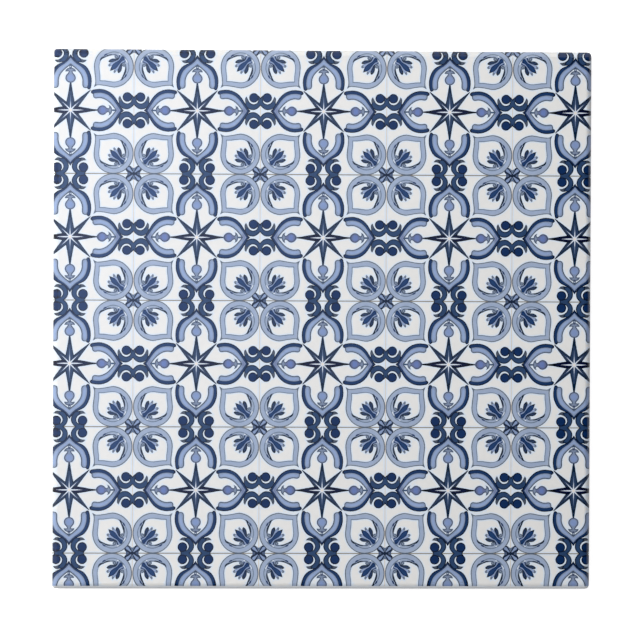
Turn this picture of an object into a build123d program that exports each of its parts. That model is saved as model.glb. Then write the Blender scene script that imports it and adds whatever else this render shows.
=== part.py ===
from build123d import *
import os
from math import floor, radians, tan

# A square glazed wall tile, pressed from clay dust, glazed and fired as one piece.
# It lies face up: the origin is the centre of its back, where it rests, +Z points out of
# the glazed face and +Y is the top of the face's pattern. All sizes are in millimetres.

# The face: a 4 1/4 inch wall tile
tile_width = 108.0
tile_height = 108.0
tile_thickness = 6.0
corner_radius = 0.8

# The rolled edge, which rounds the glazed face over into the sides
edge_roll = 1.3

# The sides: a straight collar under the rolled edge, then a taper down to the back,
# which lets the pressed tile leave its die and keeps the backs apart when faces touch
collar_height = 1.6
side_draft = 3.0
back_round = 0.4

# The back: shallow pockets between ribs, inside a flat border, for the adhesive to key into
pocket_size = 10.8
rib_width = 2.4
pocket_depth = 0.8
pocket_draft = 20.0
pocket_corner = 1.6
border_least = 6.0

# Worked out from the sizes above
taper_height = tile_thickness - edge_roll - collar_height
side_inset = taper_height * tan(radians(side_draft))
pocket_pitch = pocket_size + rib_width


def pockets_between_borders(back_size):
    """How many pockets, with a rib between each two, fit a back of this size inside its borders."""
    return floor((back_size - 2 * border_least + rib_width) / pocket_pitch)


pockets_across = pockets_between_borders(tile_width - 2 * side_inset)
pockets_up = pockets_between_borders(tile_height - 2 * side_inset)

with BuildPart() as tile:
    # the collar and everything above it, with the outline of the face
    with BuildSketch(Plane.XY.offset(taper_height)):
        RectangleRounded(tile_width, tile_height, corner_radius)
    extrude(amount=tile_thickness - taper_height)

    # the tapered sides, from the collar's lower edge to the back
    with BuildSketch(Plane(origin=(0, 0, taper_height), z_dir=(0, 0, -1))):
        RectangleRounded(tile_width, tile_height, corner_radius)
    extrude(amount=taper_height, taper=side_draft)

    # the rolled edge, all round the face
    face = tile.faces().sort_by(Axis.Z)[-1]
    fillet(face.edges(), radius=edge_roll)

    # the softened edge, all round the back
    back = tile.faces().sort_by(Axis.Z)[0]
    fillet(back.edges(), radius=back_round)

    # the pockets, whose walls slope so that the punch comes away clean
    with BuildSketch(Plane.XY):
        with GridLocations(pocket_pitch, pocket_pitch, pockets_across, pockets_up):
            RectangleRounded(pocket_size, pocket_size, pocket_corner)
    extrude(amount=pocket_depth, taper=pocket_draft, mode=Mode.SUBTRACT)

tile.part.label = "tile"
os.makedirs("parts", exist_ok=True)
export_step(tile.part, "parts/tile.step")
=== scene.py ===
from math import cos, log, pi, radians, sin, sqrt, tan

import bpy
import numpy as np
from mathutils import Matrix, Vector
from mathutils.geometry import delaunay_2d_cdt


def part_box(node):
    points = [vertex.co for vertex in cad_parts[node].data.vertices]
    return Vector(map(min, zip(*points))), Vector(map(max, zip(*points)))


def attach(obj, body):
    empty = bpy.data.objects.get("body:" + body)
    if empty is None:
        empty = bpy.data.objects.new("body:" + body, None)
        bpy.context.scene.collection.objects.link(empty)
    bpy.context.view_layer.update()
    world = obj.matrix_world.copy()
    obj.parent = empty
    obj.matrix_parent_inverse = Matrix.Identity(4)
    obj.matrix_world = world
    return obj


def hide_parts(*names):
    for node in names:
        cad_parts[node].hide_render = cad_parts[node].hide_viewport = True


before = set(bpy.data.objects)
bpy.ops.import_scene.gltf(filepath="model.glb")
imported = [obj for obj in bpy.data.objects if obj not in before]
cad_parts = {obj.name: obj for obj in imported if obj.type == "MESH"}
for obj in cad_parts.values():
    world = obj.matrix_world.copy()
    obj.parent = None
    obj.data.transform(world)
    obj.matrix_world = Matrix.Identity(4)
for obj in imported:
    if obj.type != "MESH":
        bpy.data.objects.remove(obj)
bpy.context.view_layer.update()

# A glazed wall tile, lying face up, with a blue and white ornamental repeat printed under its glaze.
# The whole tile is one closed mesh: the face is cut along the outline of every printed shape, so each
# ink has its own faces. Shapes are worked out in millimetres and put into the mesh in metres.
MM = 0.001

# The tile's outside sizes, from the frame
tile_low, tile_high = (np.array(corner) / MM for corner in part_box("tile"))
HALF = (tile_high[:2] - tile_low[:2]) / 2
TOP = tile_high[2]

# The tile's edges, as in the part
CORNER_RADIUS = 0.8
ROLL = 1.3
COLLAR = 1.6
DRAFT = radians(3.0)
BACK_ROUND = 0.4

# The back's pockets, as in the part, with their edges eased as a punch leaves them
POCKET = 10.8
POCKET_PITCH = 13.2
POCKET_REACH = 3
POCKET_DEPTH = 0.8
POCKET_DRAFT = radians(20.0)
POCKET_CORNER = 1.6
POCKET_EASE = 0.08

# The flat of the face, inside the rolled edge
FLAT = HALF - ROLL
# The power that makes the rolled edge's outline pass through the tile's rounded corner
ROUNDNESS = log(2) / log(ROLL / (ROLL - CORNER_RADIUS * (1 - sqrt(0.5))))

# The print: how wide one repeat is, where a star's centre falls on the face, and how far from the
# tile's left and lower edges the print ends. At the other two it runs over the rolled edge.
REPEAT = 25.287
PRINT_CENTRE = (0.075, 16.391)
PRINT_GAP = (0.2, 0.6)
PRINT_TURN = radians(72)
PRINT_REACH = ROLL * sin(PRINT_TURN)

# How finely outlines are drawn: how far a chord may leave its curve, the samples that find it, and how
# near a point lies to a straight run that can do without it
CHORD = 0.018
SPAN_STEPS = 24
STRAIGHT = 0.004
# The least square of the bisector at a point: sharper points are cut short when their outline is moved
SHARPEST = 0.35
# The steps round each of the tile's corners and over its rolled edge, the longest run between two points
# of its outline, and the longest one inside the print
CORNER_STEPS = 10
ROLL_STEPS = 5
LONGEST_RUN = 3.0
PRINT_RUN = 1.0
# How near the outline a reach counts as on it, and what share of the print's reach its corners keep to
AT_EDGE = 0.002
JUST_INSIDE = 0.99
# The steps down the round at the back, round a pocket's corner and down a pocket's wall
ROUND_STEPS = 5
POCKET_STEPS = 5
WALL_STEPS = 4
# The repeat's drawing is 12.7 mm from a star's centre to its edge, and is laid at the print's own size
CELL = 12.7
BEYOND = 13.2
# How deep inside an outline an ink reaches its full colour, and how far from the ink the ground does
POOL = 0.3
RIM = 0.4
# How far apart the points lie that carry these depths, and how near two of them may come
POOL_GAP = 0.55
RIM_GAP = 0.9
CROWDED = 0.3


# Outlines

def curve(*knots):
    """A smooth line through its knots: each span is a cubic whose end slopes follow the neighbouring
    knots, so that p(t) = a(2t^3-3t^2+1) + m(t^3-2t^2+t)h + b(3t^2-2t^3) + n(t^3-t^2)h."""
    p = np.array(knots, float)
    if len(p) == 2:
        return p
    gap = np.linalg.norm(np.diff(p, axis=0), axis=1)[:, None]
    slope = np.diff(p, axis=0) / gap
    middle = (slope[:-1] * gap[1:] + slope[1:] * gap[:-1]) / (gap[:-1] + gap[1:])
    first = 1.5 * slope[0] - 0.5 * middle[0]
    last = 1.5 * slope[-1] - 0.5 * middle[-1]
    m = np.vstack([first, middle, last])
    t = np.linspace(0, 1, SPAN_STEPS, endpoint=False)[:, None, None]
    leaving = (2 * t**3 - 3 * t**2 + 1) * p[:-1] + (t**3 - 2 * t**2 + t) * m[:-1] * gap
    arriving = (3 * t**2 - 2 * t**3) * p[1:] + (t**3 - t**2) * m[1:] * gap
    line = (leaving + arriving).transpose(1, 0, 2).reshape(-1, 2)
    return thinned(np.vstack([line, p[-1:]]))


def thinned(line):
    """The same line with fewer points: equal steps of the integral of sqrt(bend / (8 CHORD)) along it,
    so that no chord leaves the line by more than CHORD."""
    step = np.diff(line, axis=0)
    length = np.hypot(step[:, 0], step[:, 1])
    heading = np.unwrap(np.arctan2(step[:, 1], step[:, 0]))
    bend = np.abs(np.gradient(heading)) / length
    density = np.sqrt(bend / (8 * CHORD)) + 0.2
    along = np.concatenate([[0], np.cumsum(density * length)])
    wanted = np.linspace(0, along[-1], max(int(np.ceil(along[-1])), 1) + 1)
    return np.stack([np.interp(wanted, along, line[:, k]) for k in (0, 1)], 1)


def arc(centre, radius, start, end):
    """Part of a circle, centre + radius (cos a, sin a), from one angle in degrees to the other."""
    steps = max(int(np.ceil(abs(radians(end - start)) * sqrt(radius / (8 * CHORD)))), 3)
    a = np.radians(np.linspace(start, end, steps + 1))
    return np.array(centre) + radius * np.stack([np.cos(a), np.sin(a)], 1)


def disc(centre, radius):
    """A full circle as a closed outline."""
    return arc(centre, radius, 0, 360)[:-1]


def joined(*stretches):
    """One closed outline from stretches laid end to end, without the points that they share."""
    p = np.vstack([np.atleast_2d(np.array(stretch, float)) for stretch in stretches])
    return p[np.linalg.norm(p - np.roll(p, 1, axis=0), axis=1) > 1e-4]


def brushed(line, start, middle, end):
    """A stroke of the brush along a line: half its width, start(1-s) + end s + swell 4s(1-s), is laid
    off to both sides of the line, with s the share of its length."""
    run = np.gradient(line, axis=0)
    run /= np.linalg.norm(run, axis=1)[:, None]
    s = np.concatenate([[0], np.cumsum(np.linalg.norm(np.diff(line, axis=0), axis=1))])
    s /= s[-1]
    width = start * (1 - s) + end * s + (middle - (start + end) / 2) * 4 * s * (1 - s)
    side = np.stack([-run[:, 1], run[:, 0]], 1) * width[:, None] / 2
    return joined(line + side, (line - side)[::-1])


def two_sided(half, mirror):
    """A closed outline from its half on one side of an axis and the half's mirror image, half * mirror."""
    return joined(half, (half * mirror)[::-1])


def signed_area(p):
    """Half the sum of x(y of the next) - y(x of the next) round a closed outline."""
    q = np.roll(p, -1, axis=0)
    return 0.5 * float((p[:, 0] * q[:, 1] - q[:, 0] * p[:, 1]).sum())


def inset(outline, depth):
    """The outline moved inwards by depth along the bisector at each point, cut short at sharp ones. A
    negative depth moves it outwards."""
    p = outline if signed_area(outline) > 0 else outline[::-1]
    run = np.roll(p, -1, axis=0) - p
    run /= np.linalg.norm(run, axis=1)[:, None]
    inwards = np.stack([-run[:, 1], run[:, 0]], 1)
    bisector = inwards + np.roll(inwards, 1, axis=0)
    return p + bisector * (2 * depth / np.maximum((bisector ** 2).sum(1), SHARPEST))[:, None]


# The repeat's drawing. Every outline lies in one quarter of the repeat, in millimetres from the star's
# centre, with x to the right and y down the face. The other quarters are its mirror images. Shapes that
# cross the quarter's sides run on past them. Each function gives (ink, outline) in the order of laying.

def joint_lines():
    """Thin lines along the repeat's edges, as if the pattern were laid of small square tiles."""
    level = joined((0, 12.6), (12.8, 12.6), (12.8, 12.8), (0, 12.8))
    upright = joined((12.61, 0), (12.8, 0), (12.8, 12.8), (12.61, 12.8))
    return [("upright joint", upright), ("level joint", level)]


def quatrefoil():
    """One lobe of the ring round the flower: a pale ring between two grey lines, open at the middle."""
    outer = joined(curve((4.74, 4.7), (5.3, 5.02), (6.0, 5.02), (7.0, 4.9), (8.0, 4.7), (8.7, 4.59),
                         (9.5, 4.71), (10.52, 5.13), (11.52, 5.97), (12.34, 7.18), (12.61, 8.6), (12.4, 10.0),
                         (11.8, 11.15), (10.5, 12.23), (8.7, 12.69), (7.17, 12.43), (5.97, 11.67),
                         (5.1, 10.5), (4.73, 9.2), (4.81, 7.6), (4.98, 6.2), (4.97, 5.3), (4.74, 4.7)))
    ring = joined(curve((5.14, 5.15), (6.0, 5.16), (7.0, 5.03), (8.0, 4.84), (8.7, 4.73), (9.45, 4.86),
                        (10.43, 5.26), (11.42, 6.08), (12.18, 7.25), (12.46, 8.6), (12.25, 9.93),
                        (11.68, 11.02), (10.43, 12.11), (8.7, 12.54), (7.24, 12.3), (6.07, 11.57),
                        (5.23, 10.42), (4.88, 9.18), (4.96, 7.62), (5.13, 6.2), (5.14, 5.15)))
    edge = joined(curve((5.8, 5.8), (6.9, 5.78), (7.8, 5.66), (8.6, 5.58), (9.4, 5.69), (10.0, 5.96),
                        (10.7, 6.45), (11.3, 7.2), (11.7, 8.15), (11.72, 9.05), (11.42, 9.95),
                        (10.85, 10.8), (9.95, 11.45), (8.95, 11.78), (8.1, 11.72), (7.2, 11.3),
                        (6.45, 10.6), (5.96, 9.9), (5.67, 9.3), (5.61, 8.6), (5.69, 7.8), (5.8, 6.9),
                        (5.8, 5.8)))
    window = joined(curve((5.96, 5.98), (6.9, 5.96), (7.8, 5.83), (8.6, 5.74), (9.3, 5.8), (9.95, 6.08),
                          (10.45, 6.6), (10.85, 7.4), (11.04, 8.2), (11.0, 8.9)), (10.2, 10.2),
                    curve((8.9, 11.1), (8.2, 11.12), (7.3, 10.9), (6.6, 10.56), (6.06, 9.95), (5.82, 9.3),
                          (5.76, 8.6), (5.84, 7.8), (5.95, 6.9), (5.96, 5.96)))
    return [("grey line", outer), ("ring blue", ring), ("ring line", edge), ("ground", window)]


def scrolls():
    """Two scrolls: each is a dark stroke inside the ring that thins and curls up beside the palmette."""
    right_back = joined(curve((10.0, 6.1), (10.6, 6.52), (11.17, 7.25), (11.52, 8.15), (11.55, 9.0),
                              (11.3, 9.75), (10.8, 10.5), (10.1, 11.1), (9.9, 10.3)),
                        curve((10.3, 9.3), (10.34, 8.85), (10.7, 8.66), (11.06, 8.6)),
                        curve((11.02, 8.0), (10.8, 7.2), (10.35, 6.45)))
    lower_back = joined(curve((10.2, 11.0), (9.8, 11.35), (8.95, 11.6), (8.15, 11.55), (7.3, 11.15),
                              (6.6, 10.5), (6.05, 10.0)), curve((7.0, 10.78), (7.8, 11.05), (8.72, 11.1)),
                        curve((8.7, 11.0), (8.82, 10.5), (9.3, 10.32), (9.9, 10.3)))
    right_stroke = joined(curve((9.86, 5.92), (10.06, 6.12), (10.24, 6.45), (10.43, 6.9), (10.6, 7.3),
                                (10.75, 7.75), (10.9, 8.25), (10.97, 8.8)),
                          curve((11.1, 8.8), (11.16, 8.4), (11.14, 8.0), (11.06, 7.55), (10.86, 7.15),
                                (10.64, 6.85), (10.56, 6.6), (10.62, 6.38)),
                          curve((10.6, 6.38), (10.4, 6.12), (9.86, 5.92)))
    lower_stroke = joined(curve((5.8, 9.8), (6.02, 10.05), (6.28, 10.26), (6.62, 10.45), (7.02, 10.63),
                                (7.5, 10.84), (8.0, 10.98), (8.5, 11.05)),
                          curve((8.5, 11.13), (8.2, 11.2), (7.9, 11.2), (7.6, 11.14), (7.3, 11.01),
                                (7.05, 10.84), (6.75, 10.68), (6.55, 10.76)),
                          curve((6.55, 10.76), (6.33, 10.68), (6.04, 10.44), (5.8, 9.8)))
    right_patch = joined(curve((10.68, 6.44), (10.98, 6.62), (11.2, 6.95), (11.28, 7.26)),
                         curve((11.28, 7.26), (11.0, 7.14), (10.82, 6.84), (10.68, 6.44)))
    lower_patch = joined(curve((6.66, 10.86), (6.95, 11.0), (7.22, 11.08), (7.46, 11.34)),
                         curve((7.46, 11.34), (7.12, 11.34), (6.84, 11.18), (6.66, 10.86)))
    right_curl = brushed(curve((11.03, 8.75), (11.0, 9.1), (10.78, 9.33), (10.52, 9.26), (10.42, 9.02),
                               (10.55, 8.84), (10.76, 8.88), (10.78, 9.06)), 0.14, 0.14, 0.08)
    lower_curl = brushed(curve((8.3, 11.08), (8.75, 11.13), (9.1, 11.1), (9.36, 10.92), (9.36, 10.62),
                               (9.12, 10.46), (8.9, 10.58), (8.9, 10.84), (9.1, 10.9)), 0.17, 0.16, 0.1)
    return [("scroll pale", right_back), ("scroll pale", lower_back), ("scroll patch", right_patch),
            ("scroll patch", lower_patch), ("scroll dark", right_stroke), ("scroll dark", lower_stroke),
            ("scroll ball", disc((10.68, 9.03), 0.34)), ("scroll ball", disc((9.14, 10.76), 0.36)),
            ("scroll curl", right_curl), ("scroll curl", lower_curl)]


def palmette():
    """Five lobes fanned from the ring's corner, dark and pale by turns, with two glints at the foot."""
    gap_right = joined(curve((10.2, 9.1), (10.4, 9.4), (10.72, 9.54), (10.96, 9.6)),
                       curve((10.98, 9.98), (10.6, 9.9), (10.2, 9.6)))
    gap_lower = joined(curve((9.3, 10.3), (9.54, 10.56), (9.6, 10.86), (9.68, 11.04)),
                       curve((9.98, 10.95), (9.9, 10.6), (9.6, 10.25)))
    middle = joined(curve((7.89, 7.9), (8.36, 8.02), (8.81, 8.21), (9.23, 8.52), (9.54, 8.91), (9.79, 9.29),
                          (10.1, 9.68), (10.47, 9.95), (10.78, 10.04)),
                    curve((10.8, 10.08), (10.78, 10.4), (10.62, 10.74), (10.28, 10.88)),
                    curve((10.28, 10.88), (10.12, 10.66), (9.95, 10.36), (9.66, 10.0), (9.32, 9.81),
                          (8.9, 9.57), (8.43, 9.2), (8.12, 8.66), (7.9, 7.92)))
    upper_pale = joined(curve((8.66, 7.9), (8.62, 7.6), (8.78, 7.44), (8.96, 7.62), (9.3, 8.0),
                              (9.53, 8.44), (9.73, 8.9), (9.97, 9.34), (10.36, 9.62), (10.8, 9.82)),
                        (10.84, 10.1), (10.0, 9.9), (9.0, 8.6))
    upper_tip = joined(curve((8.66, 7.98), (8.62, 7.6), (8.78, 7.44), (8.96, 7.62), (9.1, 7.8)),
                       curve((9.0, 8.0), (8.86, 7.98), (8.7, 8.12)))
    upper_dark = joined(curve((9.61, 7.42), (9.88, 7.6), (10.12, 7.91), (10.27, 8.35), (10.32, 8.8),
                              (10.33, 9.15), (10.3, 9.5)), (10.0, 9.4),
                        curve((9.7, 8.92), (9.54, 8.52), (9.39, 8.14), (9.37, 7.8), (9.45, 7.56),
                              (9.6, 7.46)))
    lower_pale = joined(curve((8.3, 8.98), (8.0, 8.8), (7.74, 8.76), (7.53, 8.98), (7.72, 9.3),
                              (8.08, 9.5), (8.6, 9.69), (9.1, 9.86), (9.46, 10.01), (9.7, 10.28),
                              (9.84, 10.6), (9.94, 10.88)), (10.14, 10.86), (9.7, 9.9), (8.6, 9.0))
    lower_tip = joined(curve((8.0, 8.8), (7.74, 8.76), (7.53, 8.98), (7.72, 9.3), (7.9, 9.4)),
                       curve((8.0, 9.2), (7.94, 9.0), (8.06, 8.84)))
    lower_dark = joined(curve((7.54, 9.8), (7.74, 9.6), (8.04, 9.56), (8.5, 9.68), (9.0, 9.86)), (9.8, 10.2),
                        (9.82, 10.74), curve((9.7, 10.74), (9.5, 10.52), (9.2, 10.38), (8.86, 10.36),
                                             (8.5, 10.37), (8.1, 10.28), (7.74, 10.04), (7.54, 9.8)))
    right_glint = joined(curve((11.3, 9.48), (11.4, 9.6), (11.3, 9.9), (11.12, 10.2), (10.98, 10.38),
                               (10.95, 10.22), (11.08, 9.9), (11.3, 9.48)))
    lower_glint = joined(curve((9.62, 11.26), (9.68, 11.12), (9.84, 11.08), (10.0, 11.16), (9.9, 11.32),
                               (9.72, 11.36), (9.62, 11.26)))
    middle_tip = joined((7.88, 7.88), curve((8.3, 7.98), (8.42, 8.12), (8.22, 8.3), (8.17, 8.54)))
    right_tip = joined(curve((9.39, 7.86), (9.45, 7.56), (9.6, 7.46), (9.86, 7.62), (10.06, 7.86)),
                       curve((9.94, 7.9), (9.76, 7.8), (9.6, 7.82), (9.46, 8.0)))
    lower_tip_dark = joined(curve((8.0, 10.2), (7.76, 10.02), (7.58, 9.8), (7.76, 9.6), (7.96, 9.54)),
                            curve((7.92, 9.7), (7.86, 9.84), (7.92, 10.0)))
    return [("scroll patch", gap_right), ("scroll patch", gap_lower), ("dark lobe", upper_dark),
            ("low lobe", lower_dark), ("pale lobe", upper_pale), ("pale lobe", lower_pale),
            ("navy lobe", middle), ("lobe tip", middle_tip), ("lobe tip", right_tip),
            ("lobe tip", lower_tip_dark), ("glint", right_glint), ("glint", lower_glint),
            ("grey tip", upper_tip), ("grey tip", lower_tip)]


def flower():
    """A quarter of the flower at the repeat's corner: a leaf, half of two petals and the dark middle."""
    side_petal = joined(curve((11.24, 12.12), (11.42, 12.38), (11.46, 12.7)), (11.46, 13.0), (12.6, 13.0),
                        (12.6, 12.5))
    side_vein = joined((11.55, 12.62), (12.4, 12.56), (12.4, 13.0), (11.55, 13.0))
    upper_petal = joined(curve((12.3, 11.3), (12.46, 11.5), (12.7, 11.6)), (13.0, 11.6), (13.0, 12.6),
                         (12.5, 12.6))
    middle = joined((12.0, 12.62), (12.4, 12.52), (12.54, 12.4), (13.0, 12.3), (13.0, 13.0), (12.0, 13.0))
    leaf = joined((12.3, 12.62), (11.34, 12.26), (11.16, 12.04), (11.15, 11.77), (11.71, 11.17),
                  (12.0, 11.17), (12.18, 11.34), (12.59, 12.3), (12.6, 12.6))
    leaf_fill = joined((12.42, 12.44), curve((11.42, 11.78), (11.44, 11.54), (11.64, 11.4), (11.86, 11.44)),
                       (12.5, 12.38))
    return [("flower petal", upper_petal), ("side petal", side_petal), ("side vein", side_vein),
            ("flower middle", middle), ("navy leaf", leaf), ("pale lobe", leaf_fill)]


def star():
    """Eight rays from one centre: each is a dark blade with a pale needle along its middle."""
    right = joined((0, 0.6), (-0.3, 0), (0, -0.6), curve((1.2, -0.7), (3, -0.44), (4.3, -0.19), (5.5, -0.06)),
                   curve((5.5, 0.06), (4.3, 0.19), (3, 0.44), (1.56, 0.66)))
    down = joined((0.8, 0), (0, -0.3), (-0.8, 0), curve((-0.8, 1.6), (-0.5, 3), (-0.27, 4.4), (-0.1, 5.6)),
                  curve((0.1, 5.6), (0.27, 4.4), (0.5, 3), (0.8, 1.6)))
    slant = joined((0, 0), (1.56, 0.68), curve((2.52, 1.98), (3.29, 3.0), (4.06, 4.04)),
                   curve((3.99, 4.08), (3.21, 3.5), (1.94, 2.52), (0.82, 1.63)))
    right_needle = joined((0, -0.13), (1.3, -0.12), (2.7, 0), (1.3, 0.12), (0, 0.13))
    down_needle = joined((-0.12, 0), (-0.13, 1.3), (0, 3.1), (0.13, 1.3), (0.12, 0))
    slant_needle = joined((0.1, -0.1), (1.03, 0.94), (1.95, 1.92), (0.86, 1.08), (-0.12, 0.1))
    down_glint = joined((-0.13, 0), (-0.08, 1.0), (0, 1.8), (0.08, 1.0), (0.13, 0))
    slant_glint = joined((0.11, -0.11), (0.7, 0.62), (1.6, 1.58), (0.56, 0.74), (-0.13, 0.11))
    slant_side = joined((1.6, 1.1), curve((2.36, 2.0), (3.06, 2.94), (3.74, 3.78)), (2.6, 2.5), (1.7, 1.48))
    return [("slant ray", slant), ("slant side", slant_side), ("level ray", right), ("upright ray", down),
            ("glint", right_needle), ("needle", down_needle), ("needle", slant_needle),
            ("glint", down_glint), ("glint", slant_glint), ("star heart", disc((0, 0), 0.27))]


def right_bud():
    """A round violet bud on the star's level axis, with a flared cup behind it and a stem."""
    stem = joined((7.9, -0.15), (9.3, -0.15), (9.3, 0.15), (7.9, 0.15))
    flare = joined((7.4, 0), curve((7.5, 0.3), (7.68, 0.4), (7.78, 0.62), (7.76, 0.84), (7.67, 0.99)),
                   curve((8.02, 0.8), (8.22, 0.47), (8.3, 0)), curve((8.22, -0.47), (8.02, -0.8)),
                   curve((7.67, -0.99), (7.76, -0.84), (7.78, -0.62), (7.68, -0.4), (7.5, -0.3)))
    body = two_sided(curve((7.52, 0.3), (7.22, 0.46), (6.9, 0.78), (6.43, 0.94), (5.88, 0.77), (5.51, 0.4),
                           (5.32, 0)), (1, -1))
    fill = two_sided(curve((7.55, 0.18), (7.2, 0.3), (6.86, 0.63), (6.43, 0.78), (6.02, 0.63), (5.76, 0.34),
                           (5.64, 0)), (1, -1))
    return [("stem", stem), ("bud cup", flare), ("bud line", body), ("violet bud", fill)]


def lower_bud():
    """A drop-shaped blue bud on the star's upright axis, with its cup and stem."""
    stem = joined((-0.27, 8.2), (0.27, 8.2), (0.22, 8.9), (0.1, 9.3), (-0.1, 9.3), (-0.22, 8.9))
    flare = joined((0, 7.4), curve((0.26, 7.64), (0.5, 7.78), (0.8, 7.74), (1.02, 7.74)),
                   curve((0.98, 7.94), (0.8, 8.18), (0.47, 8.38), (0, 8.48)),
                   curve((-0.47, 8.38), (-0.8, 8.18), (-0.98, 7.94)),
                   curve((-1.02, 7.74), (-0.8, 7.74), (-0.5, 7.78), (-0.26, 7.64)))
    body = two_sided(curve((0, 5.5), (0.5, 5.62), (0.88, 5.98), (1.0, 6.45), (0.85, 6.95), (0.5, 7.35),
                           (0.28, 7.7)), (-1, 1))
    fill = two_sided(curve((0, 5.64), (0.42, 5.75), (0.74, 6.06), (0.84, 6.45), (0.7, 6.87), (0.34, 7.28),
                           (0.15, 7.75)), (-1, 1))
    return [("stem", stem), ("glint", disc((0, 8.7), 0.11)), ("bud cup", flare),
            ("bud line", disc((0, 8.38), 0.17)), ("bud line", body), ("blue bud", fill)]


def right_volute():
    """A hook that springs from the arch and turns over a round ball, which meets the next repeat's."""
    hook = joined((9.55, 1.3), (9.98, 0.66), curve((10.14, 0.58), (10.5, 0.36), (10.95, 0.25), (11.4, 0.24),
                                                   (11.87, 0.39), (12.33, 0.73), (12.75, 1.2)),
                  (BEYOND, 1.8), (12.75, 2.6), curve((12.55, 2.82), (12.3, 3.06), (12.0, 3.24)),
                  curve((12.14, 2.4), (12.24, 2.04), (12.07, 1.67), (11.7, 1.41), (11.3, 1.33),
                        (10.85, 1.45), (10.45, 1.79), (10.2, 2.2), (10.04, 2.58), (9.9, 2.86)),
                  curve((9.9, 2.86), (9.74, 2.7), (9.63, 2.4), (9.63, 2.05), (9.7, 1.6)))
    tail = joined(curve((10.26, 1.95), (10.17, 2.27), (10.04, 2.58), (9.9, 2.86)),
                  curve((9.9, 2.86), (9.74, 2.7), (9.63, 2.4), (9.63, 2.05), (9.69, 1.8)))
    return [("teal hook", hook), ("hook tail", tail), ("navy ball", disc((11.37, 2.66), 0.92))]


def lower_volute():
    """The same hook and ball on the star's upright side, turned the other way."""
    hook = joined((1.1, 9.5), curve((0.95, 9.88), (0.55, 10.38), (0.36, 10.9), (0.33, 11.35), (0.48, 11.9),
                                    (0.8, 12.36), (1.26, 12.75)),
                  (1.8, BEYOND), (2.9, 12.75), curve((3.04, 12.46), (3.24, 12.2)),
                  curve((2.4, 12.1), (1.98, 12.16), (1.6, 11.96), (1.37, 11.54), (1.38, 11.05), (1.6, 10.62),
                        (2.0, 10.3), (2.5, 10.09), (3.15, 10.02)),
                  curve((3.15, 10.02), (2.93, 9.75), (2.6, 9.56), (2.2, 9.54), (1.75, 9.63)))
    tail = joined(curve((2.1, 10.25), (2.5, 10.09), (3.15, 10.02)),
                  curve((3.15, 10.02), (2.93, 9.75), (2.6, 9.56), (2.3, 9.53)))
    return [("teal hook", hook), ("hook tail", tail), ("navy ball", disc((2.63, 11.46), 0.94))]


def right_arch():
    """Half of the pointed arch right of the star: a navy band outside a pale one with a grey line."""
    dark = joined(curve((4.6, 3.2), (4.36, 3.3), (4.1, 3.56), (4.17, 3.85), (4.5, 4.05), (5.1, 4.15),
                        (5.8, 4.21), (6.6, 4.12), (7.42, 3.84), (8.15, 3.38), (8.78, 2.75), (9.29, 2.0),
                        (9.75, 1.18), (10.18, 0.44), (10.64, 0)), (9.5, -0.5), (9.3, 0.5), (7.5, 2.4),
                  (5.5, 3))
    outer = ((9.98, -0.02), (9.56, 0.59), (9.0, 1.43), (8.3, 2.35), (7.47, 3.04), (6.52, 3.4), (5.7, 3.48),
             (5.1, 3.43))
    line = joined(curve((4.66, 3.4), (4.52, 3.15), (4.55, 2.8), (4.7, 2.52), (4.95, 2.38), (5.4, 2.43),
                        (5.9, 2.46), (6.5, 2.33), (7.2, 2.01), (7.9, 1.47), (8.55, 0.74), (9.17, -0.05)),
                  curve(*outer, (4.66, 3.34)))
    pale = joined(curve((4.68, 3.32), (4.63, 3.05), (4.68, 2.81), (4.82, 2.6), (5.04, 2.53), (5.4, 2.57),
                        (5.9, 2.6), (6.54, 2.47), (7.27, 2.14), (7.98, 1.58), (8.66, 0.82), (9.38, -0.1)),
                  curve(*outer, (4.72, 3.34)))
    tip = joined((9.38, -0.1), (9.98, -0.02), curve((9.98, -0.02), (9.56, 0.59), (9.3, 0.98)), (9.02, 0.4))
    return [("navy band", dark), ("arch line", line), ("arch pale", pale), ("arch tip", tip)]


def lower_arch():
    """Half of the pointed arch below the star."""
    dark = joined(curve((3.1, 4.62), (3.36, 4.38), (3.66, 4.14), (3.88, 4.23), (4.03, 4.52), (4.13, 5.1),
                        (4.18, 5.8), (4.12, 6.6), (3.89, 7.4), (3.49, 8.22), (2.97, 8.83), (2.26, 9.25),
                        (1.6, 9.53), (0.94, 9.95), (0.44, 10.45), (0, 11.1)), (-0.5, 10.0), (0.5, 9.7),
                  (2.4, 7.7), (3, 5.5))
    outer = ((-0.03, 10.46), (0.42, 9.94), (1.19, 9.25), (2.14, 8.64), (2.89, 7.83), (3.3, 6.9), (3.47, 6.1),
             (3.49, 5.5), (3.46, 5.0))
    line = joined(curve((3.44, 4.62), (3.18, 4.45), (2.85, 4.46), (2.55, 4.63), (2.41, 4.95), (2.4, 5.4),
                        (2.42, 5.9), (2.32, 6.5), (2.05, 7.15), (1.55, 7.8), (0.85, 8.45), (-0.05, 9.12)),
                  curve(*outer, (3.32, 4.64)))
    pale = joined(curve((3.36, 4.66), (3.15, 4.54), (2.91, 4.56), (2.68, 4.72), (2.55, 5.04), (2.55, 5.4),
                        (2.57, 5.92), (2.47, 6.55), (2.18, 7.24), (1.66, 7.92), (0.94, 8.58), (-0.1, 9.4)),
                  curve(*outer, (3.3, 4.68)))
    return [("navy band", dark), ("arch line", line), ("arch pale", pale)]


MOTIFS = (joint_lines, quatrefoil, scrolls, palmette, flower, star, right_bud, lower_bud, right_volute,
          lower_volute, right_arch, lower_arch)

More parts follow.
